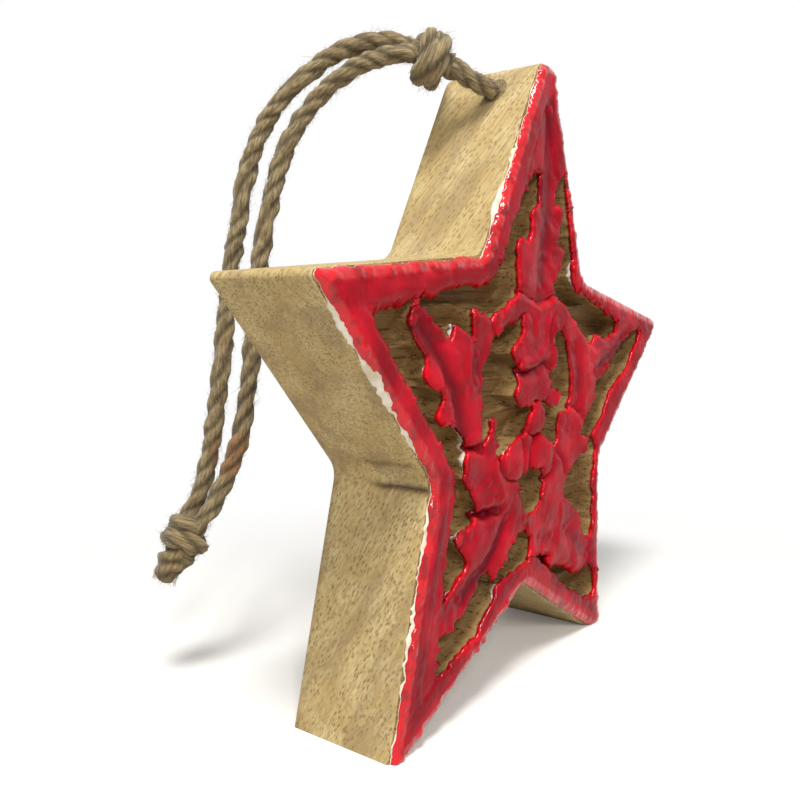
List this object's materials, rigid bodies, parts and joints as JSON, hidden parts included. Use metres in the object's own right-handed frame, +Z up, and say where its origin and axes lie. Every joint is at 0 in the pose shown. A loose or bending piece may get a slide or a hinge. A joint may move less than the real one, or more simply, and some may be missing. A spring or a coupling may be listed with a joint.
{
  "type": "star ornament",
  "caption": "Standing or hanging wooden star with a carved and painted front of holly and a bell in a sunken field, a cross bore and a knotted jute loop.",
  "frame": {"origin": "on the floor, midway across the star's width and its thickness", "axes": "+Z up, +X across the star to the right of its carved front, +Y through the thickness from the carved front to the back"},
  "size_m": [0.1442, 0.0638, 0.1414],
  "materials": {
    "wood": "raw, sawn and lightly sanded",
    "primer": "chalky brushed primer",
    "enamel": "thick brushed gloss enamel",
    "jute": "hairy three-ply jute cord"
  },
  "bodies": {
    "star": {"star_block": "wood", "primer_coat": "primer", "enamel_coat": "enamel"},
    "loop": {"cord_bore_run": "jute", "cord_left_lead": "jute", "cord_right_lead": "jute", "throat_knot": "jute", "cord_outer_strand": "jute", "cord_inner_strand": "jute", "end_knot": "jute", "cord_tail": "jute"}
  },
  "joints": [
    {"name": "loop_swing", "type": "hinge", "parent": "star", "child": "loop", "pos_m": [0.00244, -0.002, 0.12919], "axis": [1, 0, 0], "range_deg": [-12, 130]}
  ]
}
